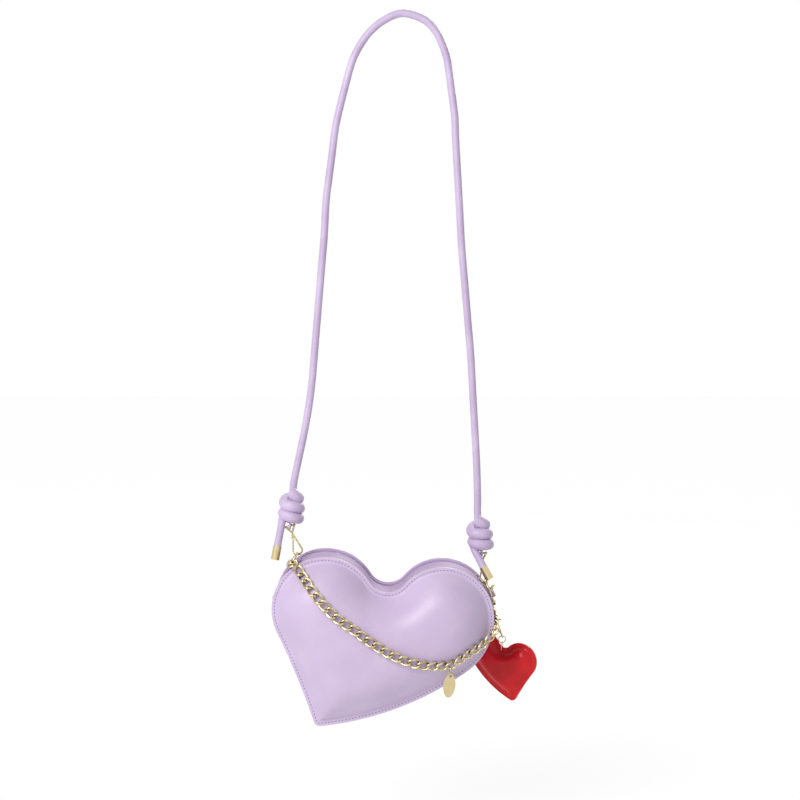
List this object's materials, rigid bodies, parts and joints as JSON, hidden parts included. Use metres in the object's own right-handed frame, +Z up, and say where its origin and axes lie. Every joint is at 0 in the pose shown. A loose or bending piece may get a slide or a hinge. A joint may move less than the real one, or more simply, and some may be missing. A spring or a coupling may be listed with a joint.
{
  "type": "heart shaped purse",
  "caption": "Heart shaped leather purse with a domed front, a knotted cord strap on swivel clips, a curb chain with an oval tag and a hanging heart charm.",
  "frame": {"origin": "underside of the cord strap at its top, where a hook or a shoulder carries it", "axes": "+Z up, -Y is the domed front, +X to the right seen from the front"},
  "size_m": [0.2594, 0.1039, 0.6811],
  "materials": {
    "leather": "smooth pale lilac, soft sheen",
    "cord": "pale lilac leather sewn round a cord",
    "lining": "matt woven",
    "zip_tape": "matt woven",
    "zip_teeth": "matt",
    "gold": "polished pale gold",
    "charm_leather": "glossy red patent",
    "charm_filling": "soft wadding"
  },
  "bodies": {
    "strap": {"strap_cord": "cord", "left_knot": "cord", "right_knot": "cord", "left_tongue": "cord", "right_tongue": "cord", "left_ferrule": "gold", "right_ferrule": "gold", "left_clip_eye": "gold", "right_clip_eye": "gold"},
    "left_clip": {"left_hook": "gold"},
    "right_clip": {"right_hook": "gold"},
    "left_clip_gate": {"left_gate": "gold"},
    "right_clip_gate": {"right_gate": "gold"},
    "bag": {"front_panel": "leather", "back_panel": "leather", "back_board": "lining", "back_lining": "lining", "inner_pocket": "lining", "band": "leather", "band_lining": "lining", "left_tab": "leather", "right_tab": "leather", "front_strip": "leather", "rear_strip": "leather", "front_zip_tape": "zip_tape", "rear_zip_tape": "zip_tape", "front_zip_teeth": "zip_teeth", "rear_zip_teeth": "zip_teeth", "zip_start_stop": "gold", "zip_end_stop": "gold", "chain_left_ring": "gold", "chain_right_ring": "gold", "chain_right_links": "gold"},
    "left_ring": {"left_d_ring": "gold"},
    "right_ring": {"right_d_ring": "gold"},
    "slider": {"zip_slider": "gold"},
    "pull": {"zip_pull": "gold", "zip_pull_tab": "leather"},
    "chain": {"chain_drape": "gold"},
    "tag": {"tag_upper_ring": "gold", "tag_lower_ring": "gold", "tag_plate": "gold"},
    "charm": {"clasp_body": "gold", "charm_split_ring": "gold", "charm_jump_ring": "gold", "charm_front": "charm_leather", "charm_back": "charm_leather", "charm_filling": "charm_filling"},
    "lever": {"clasp_lever": "gold"}
  },
  "joints": [
    {"name": "left_clip_swivel", "type": "hinge", "parent": "strap", "child": "left_clip", "pos_m": [-0.10062, 0, -0.51114], "axis": [-0.289, 0, 0.9573], "range_deg": [-20, 20]},
    {"name": "right_clip_swivel", "type": "hinge", "parent": "strap", "child": "right_clip", "pos_m": [0.07978, 0, -0.53888], "axis": [-0.1236, 0, 0.9923], "range_deg": [-20, 20]},
    {"name": "left_gate_hinge", "type": "hinge", "parent": "left_clip", "child": "left_clip_gate", "pos_m": [-0.10623, 0, -0.49644], "axis": [0, -1, 0], "range_deg": [0, 18], "stiffness_Nm_per_rad": 0.01, "springref_deg": -17.19},
    {"name": "right_gate_hinge", "type": "hinge", "parent": "right_clip", "child": "right_clip_gate", "pos_m": [0.07673, 0, -0.52344], "axis": [0, -1, 0], "range_deg": [0, 18], "stiffness_Nm_per_rad": 0.01, "springref_deg": -17.19},
    {"name": "bag_swing", "type": "hinge", "parent": "strap", "child": "bag", "pos_m": [-0.01042, 0, -0.52501], "axis": [0.9884, 0, -0.152], "range_deg": [-25, 25]},
    {"name": "left_ring_turn", "type": "hinge", "parent": "bag", "child": "left_ring", "pos_m": [-0.10925, 0, -0.52042], "axis": [0, 1, 0], "range_deg": [-3, 1]},
    {"name": "right_ring_turn", "type": "hinge", "parent": "bag", "child": "right_ring", "pos_m": [0.08519, 0, -0.54934], "axis": [0, 1, 0], "range_deg": [-1, 3]},
    {"name": "zip_run", "type": "hinge", "parent": "bag", "child": "slider", "pos_m": [-0.07509, 0.018, -0.56026], "axis": [0, 1, 0], "range_deg": [0, 120]},
    {"name": "zip_pull_swing", "type": "hinge", "parent": "slider", "child": "pull", "pos_m": [-0.12664, 0.018, -0.55826], "axis": [0, 1, 0], "range_deg": [0, 150]},
    {"name": "chain_lift", "type": "hinge", "parent": "bag", "child": "chain", "pos_m": [-0.10534, -0.01424, -0.51777], "axis": [-0.9545, -0.1217, 0.2722], "range_deg": [0, 25]},
    {"name": "tag_swing", "type": "hinge", "parent": "chain", "child": "tag", "pos_m": [0.04505, -0.04042, -0.61326], "axis": [1, 0, 0], "range_deg": [-30, 30]},
    {"name": "charm_swing", "type": "hinge", "parent": "bag", "child": "charm", "pos_m": [0.08924, 0.01626, -0.57619], "axis": [1, 0, 0], "range_deg": [0, 18]},
    {"name": "clasp_lever_press", "type": "hinge", "parent": "charm", "child": "lever", "pos_m": [0.09394, 0.01815, -0.57952], "axis": [-0.0005, -0.8699, -0.4932], "range_deg": [0, 12], "stiffness_Nm_per_rad": 0.01, "springref_deg": -17.19}
  ]
}
